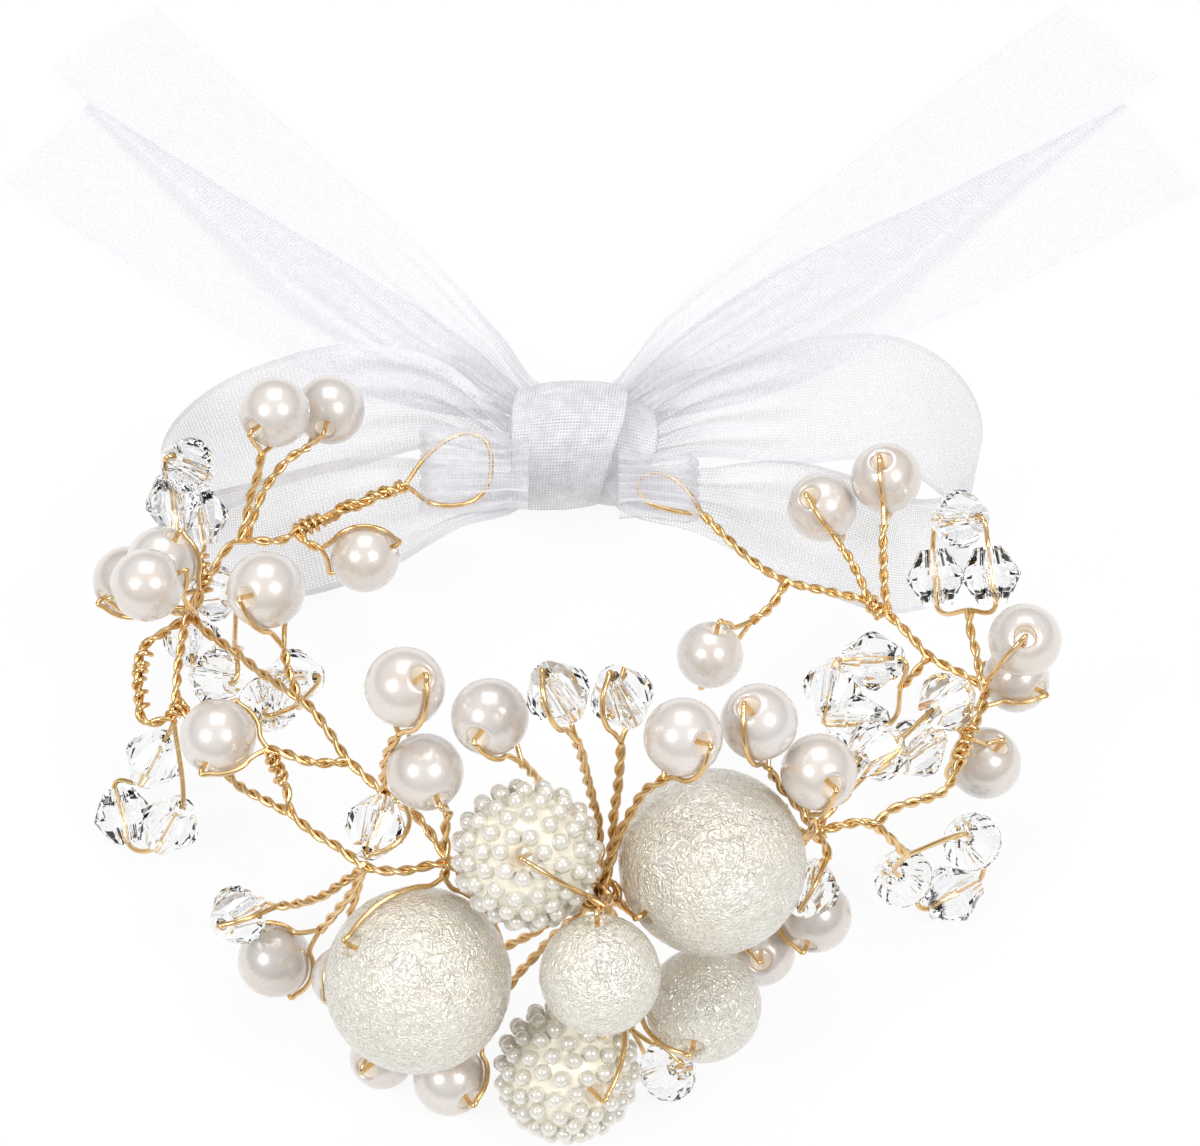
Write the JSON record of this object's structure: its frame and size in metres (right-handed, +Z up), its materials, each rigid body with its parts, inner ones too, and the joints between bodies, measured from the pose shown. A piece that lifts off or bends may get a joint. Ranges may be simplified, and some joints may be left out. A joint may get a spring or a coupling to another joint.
{
  "type": "wrist corsage",
  "caption": "Wrist corsage: a ring of twisted gold wire carrying pearls, cotton pearls, berry balls and clear crystals, closed by a sheer ribbon bow with long tails.",
  "frame": {"origin": "under the middle of the whole corsage, on the surface that its lowest beads and the ribbon rest on", "axes": "+Z up, +Y from the large beads towards the ends of the tails, +X to the right as seen from the large beads"},
  "size_m": [0.1148, 0.1224, 0.0448],
  "materials": {
    "pearl_01": "pearlescent gloss",
    "pearl_02": "pearlescent gloss",
    "pearl_03": "pearlescent gloss",
    "pearl_04": "pearlescent gloss",
    "pearl_05": "pearlescent gloss",
    "pearl_06": "pearlescent gloss",
    "pearl_07": "pearlescent gloss",
    "pearl_08": "pearlescent gloss",
    "pearl_09": "pearlescent gloss",
    "pearl_10": "pearlescent gloss",
    "pearl_11": "pearlescent gloss",
    "pearl_12": "pearlescent gloss",
    "pearl_13": "pearlescent gloss",
    "pearl_14": "pearlescent gloss",
    "pearl_15": "pearlescent gloss",
    "pearl_16": "pearlescent gloss",
    "pearl_17": "pearlescent gloss",
    "pearl_18": "pearlescent gloss",
    "pearl_19": "pearlescent gloss",
    "pearl_20": "pearlescent gloss",
    "pearl_21": "pearlescent gloss",
    "pearl_22": "pearlescent gloss",
    "pearl_23": "pearlescent gloss",
    "pearl_24": "pearlescent gloss",
    "pearl_25": "pearlescent gloss",
    "pearl_26": "pearlescent gloss",
    "cotton_pearl_large_left": "wrinkled pearl sheen",
    "cotton_pearl_large_right": "wrinkled pearl sheen",
    "cotton_pearl_small_front": "wrinkled pearl sheen",
    "cotton_pearl_small_low": "wrinkled pearl sheen",
    "berry_ball_upper": "beaded gloss",
    "berry_ball_lower": "beaded gloss",
    "crystal_left_front": "faceted, clear",
    "crystal_left_bottom": "faceted, clear",
    "crystal_top_left": "faceted, clear",
    "crystal_top_right": "faceted, clear",
    "crystal_right_bottom": "faceted, clear",
    "crystal_front_bottom": "faceted, clear",
    "crystals_left_top": "faceted, clear",
    "crystals_left_inner": "faceted, clear",
    "crystals_left_pair": "faceted, clear",
    "crystals_left_low": "faceted, clear",
    "crystals_right_top": "faceted, clear",
    "crystals_right_inner": "faceted, clear",
    "crystals_right_middle": "faceted, clear",
    "crystals_right_low": "faceted, clear",
    "vine_left": "bright gold wire",
    "vine_hub": "bright gold wire",
    "vine_right": "bright gold wire",
    "ribbon_tail_left_upper": "sheer woven organza",
    "ribbon_tail_left_lower": "sheer woven organza",
    "ribbon_tail_right_upper": "sheer woven organza",
    "ribbon_tail_right_lower": "sheer woven organza",
    "ribbon_loop_left": "sheer woven organza",
    "ribbon_loop_right": "sheer woven organza",
    "ribbon_strap_left": "sheer woven organza",
    "ribbon_strap_right": "sheer woven organza",
    "ribbon_knot": "sheer woven organza"
  },
  "bodies": {
    "vine_and_bow": {"crystals_left_top": "crystals_left_top", "crystals_left_inner": "crystals_left_inner", "crystals_left_pair": "crystals_left_pair", "crystals_left_low": "crystals_left_low", "crystals_right_top": "crystals_right_top", "crystals_right_inner": "crystals_right_inner", "crystals_right_middle": "crystals_right_middle", "crystals_right_low": "crystals_right_low", "vine_left": "vine_left", "vine_hub": "vine_hub", "vine_right": "vine_right", "ribbon_tail_left_upper": "ribbon_tail_left_upper", "ribbon_tail_left_lower": "ribbon_tail_left_lower", "ribbon_tail_right_upper": "ribbon_tail_right_upper", "ribbon_tail_right_lower": "ribbon_tail_right_lower", "ribbon_loop_left": "ribbon_loop_left", "ribbon_loop_right": "ribbon_loop_right", "ribbon_strap_left": "ribbon_strap_left", "ribbon_strap_right": "ribbon_strap_right", "ribbon_knot": "ribbon_knot"},
    "pearl_01_body": {"pearl_01": "pearl_01"},
    "pearl_02_body": {"pearl_02": "pearl_02"},
    "pearl_03_body": {"pearl_03": "pearl_03"},
    "pearl_04_body": {"pearl_04": "pearl_04"},
    "pearl_05_body": {"pearl_05": "pearl_05"},
    "pearl_06_body": {"pearl_06": "pearl_06"},
    "pearl_07_body": {"pearl_07": "pearl_07"},
    "pearl_08_body": {"pearl_08": "pearl_08"},
    "pearl_09_body": {"pearl_09": "pearl_09"},
    "pearl_10_body": {"pearl_10": "pearl_10"},
    "pearl_11_body": {"pearl_11": "pearl_11"},
    "pearl_12_body": {"pearl_12": "pearl_12"},
    "pearl_13_body": {"pearl_13": "pearl_13"},
    "pearl_14_body": {"pearl_14": "pearl_14"},
    "pearl_15_body": {"pearl_15": "pearl_15"},
    "pearl_16_body": {"pearl_16": "pearl_16"},
    "pearl_17_body": {"pearl_17": "pearl_17"},
    "pearl_18_body": {"pearl_18": "pearl_18"},
    "pearl_19_body": {"pearl_19": "pearl_19"},
    "pearl_20_body": {"pearl_20": "pearl_20"},
    "pearl_21_body": {"pearl_21": "pearl_21"},
    "pearl_22_body": {"pearl_22": "pearl_22"},
    "pearl_23_body": {"pearl_23": "pearl_23"},
    "pearl_24_body": {"pearl_24": "pearl_24"},
    "pearl_25_body": {"pearl_25": "pearl_25"},
    "pearl_26_body": {"pearl_26": "pearl_26"},
    "cotton_pearl_large_left_body": {"cotton_pearl_large_left": "cotton_pearl_large_left"},
    "cotton_pearl_large_right_body": {"cotton_pearl_large_right": "cotton_pearl_large_right"},
    "cotton_pearl_small_front_body": {"cotton_pearl_small_front": "cotton_pearl_small_front"},
    "cotton_pearl_small_low_body": {"cotton_pearl_small_low": "cotton_pearl_small_low"},
    "berry_ball_upper_body": {"berry_ball_upper": "berry_ball_upper"},
    "berry_ball_lower_body": {"berry_ball_lower": "berry_ball_lower"},
    "crystal_left_front_body": {"crystal_left_front": "crystal_left_front"},
    "crystal_left_bottom_body": {"crystal_left_bottom": "crystal_left_bottom"},
    "crystal_top_left_body": {"crystal_top_left": "crystal_top_left"},
    "crystal_top_right_body": {"crystal_top_right": "crystal_top_right"},
    "crystal_right_bottom_body": {"crystal_right_bottom": "crystal_right_bottom"},
    "crystal_front_bottom_body": {"crystal_front_bottom": "crystal_front_bottom"}
  },
  "joints": [
    {"name": "pearl_01_spin", "type": "hinge", "parent": "vine_and_bow", "child": "pearl_01_body", "pos_m": [-0.02761, -0.00173, 0.0215], "axis": [-0.5651, -0.7978, 0.2102], "continuous": true},
    {"name": "pearl_02_spin", "type": "hinge", "parent": "vine_and_bow", "child": "pearl_02_body", "pos_m": [-0.02336, 0.00158, 0.017], "axis": [-0.1151, -0.9425, 0.3138], "continuous": true},
    {"name": "pearl_03_spin", "type": "hinge", "parent": "vine_and_bow", "child": "pearl_03_body", "pos_m": [-0.03716, -0.01961, 0.0225], "axis": [-0.9374, -0.2953, -0.1845], "continuous": true},
    {"name": "pearl_04_spin", "type": "hinge", "parent": "vine_and_bow", "child": "pearl_04_body", "pos_m": [-0.03687, -0.01392, 0.017], "axis": [0.5042, 0.4205, 0.7543], "continuous": true},
    {"name": "pearl_05_spin", "type": "hinge", "parent": "vine_and_bow", "child": "pearl_05_body", "pos_m": [-0.04044, -0.01239, 0.0115], "axis": [-0.6845, -0.718, 0.1265], "continuous": true},
    {"name": "pearl_06_spin", "type": "hinge", "parent": "vine_and_bow", "child": "pearl_06_body", "pos_m": [-0.02701, -0.02226, 0.026], "axis": [-0.5123, -0.6157, 0.5987], "continuous": true},
    {"name": "pearl_07_spin", "type": "hinge", "parent": "vine_and_bow", "child": "pearl_07_body", "pos_m": [-0.02051, -0.00785, 0.008], "axis": [0.8995, 0.2031, 0.3868], "continuous": true},
    {"name": "pearl_08_spin", "type": "hinge", "parent": "vine_and_bow", "child": "pearl_08_body", "pos_m": [-0.03085, -0.03247, 0.02], "axis": [-0.3391, -0.9405, -0.0207], "continuous": true},
    {"name": "pearl_09_spin", "type": "hinge", "parent": "vine_and_bow", "child": "pearl_09_body", "pos_m": [-0.0149, -0.03712, 0.036], "axis": [0.4929, -0.1829, 0.8507], "continuous": true},
    {"name": "pearl_10_spin", "type": "hinge", "parent": "vine_and_bow", "child": "pearl_10_body", "pos_m": [-0.00846, -0.03861, 0.034], "axis": [-0.3311, -0.8655, 0.3759], "continuous": true},
    {"name": "pearl_11_spin", "type": "hinge", "parent": "vine_and_bow", "child": "pearl_11_body", "pos_m": [-0.01355, -0.04092, 0.0295], "axis": [0.3856, -0.9224, 0.0209], "continuous": true},
    {"name": "pearl_12_spin", "type": "hinge", "parent": "vine_and_bow", "child": "pearl_12_body", "pos_m": [-0.02699, -0.04414, 0.00309], "axis": [-0.3486, 0.6582, 0.6672], "continuous": true},
    {"name": "pearl_13_spin", "type": "hinge", "parent": "vine_and_bow", "child": "pearl_13_body", "pos_m": [-0.01787, -0.05268, 0.00264], "axis": [-0.4952, -0.6723, 0.5502], "continuous": true},
    {"name": "pearl_14_spin", "type": "hinge", "parent": "vine_and_bow", "child": "pearl_14_body", "pos_m": [-0.01226, -0.05479, 0.003], "axis": [0.5692, -0.7873, 0.2369], "continuous": true},
    {"name": "pearl_15_spin", "type": "hinge", "parent": "vine_and_bow", "child": "pearl_15_body", "pos_m": [-0.02094, -0.04693, 0.0055], "axis": [-0.445, -0.8199, 0.3603], "continuous": true},
    {"name": "pearl_16_spin", "type": "hinge", "parent": "vine_and_bow", "child": "pearl_16_body", "pos_m": [0.00618, -0.04205, 0.037], "axis": [0.5764, -0.5532, 0.6015], "continuous": true},
    {"name": "pearl_17_spin", "type": "hinge", "parent": "vine_and_bow", "child": "pearl_17_body", "pos_m": [0.01216, -0.03819, 0.0325], "axis": [-0.3585, -0.0394, 0.9327], "continuous": true},
    {"name": "pearl_18_spin", "type": "hinge", "parent": "vine_and_bow", "child": "pearl_18_body", "pos_m": [0.0169, -0.04037, 0.0285], "axis": [0.3355, -0.7675, 0.5463], "continuous": true},
    {"name": "pearl_19_spin", "type": "hinge", "parent": "vine_and_bow", "child": "pearl_19_body", "pos_m": [0.00922, -0.02004, 0.012], "axis": [0.2392, 0.5037, 0.8301], "continuous": true},
    {"name": "pearl_20_spin", "type": "hinge", "parent": "vine_and_bow", "child": "pearl_20_body", "pos_m": [0.01904, -0.00613, 0.0135], "axis": [-0.4587, -0.1728, 0.8716], "continuous": true},
    {"name": "pearl_21_spin", "type": "hinge", "parent": "vine_and_bow", "child": "pearl_21_body", "pos_m": [0.02433, -0.00546, 0.017], "axis": [-0.2274, -0.0051, 0.9738], "continuous": true},
    {"name": "pearl_22_spin", "type": "hinge", "parent": "vine_and_bow", "child": "pearl_22_body", "pos_m": [0.03463, -0.02396, 0.021], "axis": [-0.1088, -0.4313, 0.8956], "continuous": true},
    {"name": "pearl_23_spin", "type": "hinge", "parent": "vine_and_bow", "child": "pearl_23_body", "pos_m": [0.03474, -0.02297, 0.013], "axis": [0.7119, -0.6381, 0.2934], "continuous": true},
    {"name": "pearl_24_spin", "type": "hinge", "parent": "vine_and_bow", "child": "pearl_24_body", "pos_m": [0.03194, -0.02988, 0.011], "axis": [0.3601, 0.1068, 0.9268], "continuous": true},
    {"name": "pearl_25_spin", "type": "hinge", "parent": "vine_and_bow", "child": "pearl_25_body", "pos_m": [0.0175, -0.04303, 0.009], "axis": [-0.2993, -0.954, -0.0137], "continuous": true},
    {"name": "pearl_26_spin", "type": "hinge", "parent": "vine_and_bow", "child": "pearl_26_body", "pos_m": [0.01321, -0.04433, 0.005], "axis": [-0.0584, -0.6694, 0.7406], "continuous": true},
    {"name": "cotton_pearl_large_left_spin", "type": "hinge", "parent": "vine_and_bow", "child": "cotton_pearl_large_left_body", "pos_m": [-0.01437, -0.05213, 0.016], "axis": [-0.7015, 0.0841, 0.7077], "continuous": true},
    {"name": "cotton_pearl_large_right_spin", "type": "hinge", "parent": "vine_and_bow", "child": "cotton_pearl_large_right_body", "pos_m": [0.00871, -0.04482, 0.022], "axis": [-0.7619, -0.6466, 0.0363], "continuous": true},
    {"name": "cotton_pearl_small_front_spin", "type": "hinge", "parent": "vine_and_bow", "child": "cotton_pearl_small_front_body", "pos_m": [-0.00006, -0.05506, 0.023], "axis": [-0.0489, 0.6712, 0.7397], "continuous": true},
    {"name": "cotton_pearl_small_low_spin", "type": "hinge", "parent": "vine_and_bow", "child": "cotton_pearl_small_low_body", "pos_m": [0.0082, -0.05147, 0.01], "axis": [-0.2217, -0.9531, 0.2058], "continuous": true},
    {"name": "berry_ball_upper_spin", "type": "hinge", "parent": "vine_and_bow", "child": "berry_ball_upper_body", "pos_m": [-0.00571, -0.04577, 0.025], "axis": [-0.0516, -0.496, 0.8668], "continuous": true},
    {"name": "berry_ball_lower_spin", "type": "hinge", "parent": "vine_and_bow", "child": "berry_ball_lower_body", "pos_m": [-0.00271, -0.05534, 0.006], "axis": [0.4698, -0.6733, 0.5709], "continuous": true},
    {"name": "crystal_left_front_spin", "type": "hinge", "parent": "vine_and_bow", "child": "crystal_left_front_body", "pos_m": [-0.01757, -0.04332, 0.025], "axis": [-0.2179, -0.9587, 0.183], "continuous": true},
    {"name": "crystal_left_bottom_spin", "type": "hinge", "parent": "vine_and_bow", "child": "crystal_left_bottom_body", "pos_m": [-0.02948, -0.04319, 0.0095], "axis": [-0.489, -0.6397, 0.5931], "continuous": true},
    {"name": "crystal_top_left_spin", "type": "hinge", "parent": "vine_and_bow", "child": "crystal_top_left_body", "pos_m": [-0.00317, -0.04113, 0.042], "axis": [-0.3855, 0.1674, 0.9074], "continuous": true},
    {"name": "crystal_top_right_spin", "type": "hinge", "parent": "vine_and_bow", "child": "crystal_top_right_body", "pos_m": [0.00162, -0.038, 0.036], "axis": [-0.3041, 0.2079, 0.9297], "continuous": true},
    {"name": "crystal_right_bottom_spin", "type": "hinge", "parent": "vine_and_bow", "child": "crystal_right_bottom_body", "pos_m": [0.01669, -0.04353, 0.015], "axis": [-0.2885, -0.8794, 0.3788], "continuous": true},
    {"name": "crystal_front_bottom_spin", "type": "hinge", "parent": "vine_and_bow", "child": "crystal_front_bottom_body", "pos_m": [0.00548, -0.05408, 0.003], "axis": [0.3908, -0.2138, 0.8953], "continuous": true}
  ]
}
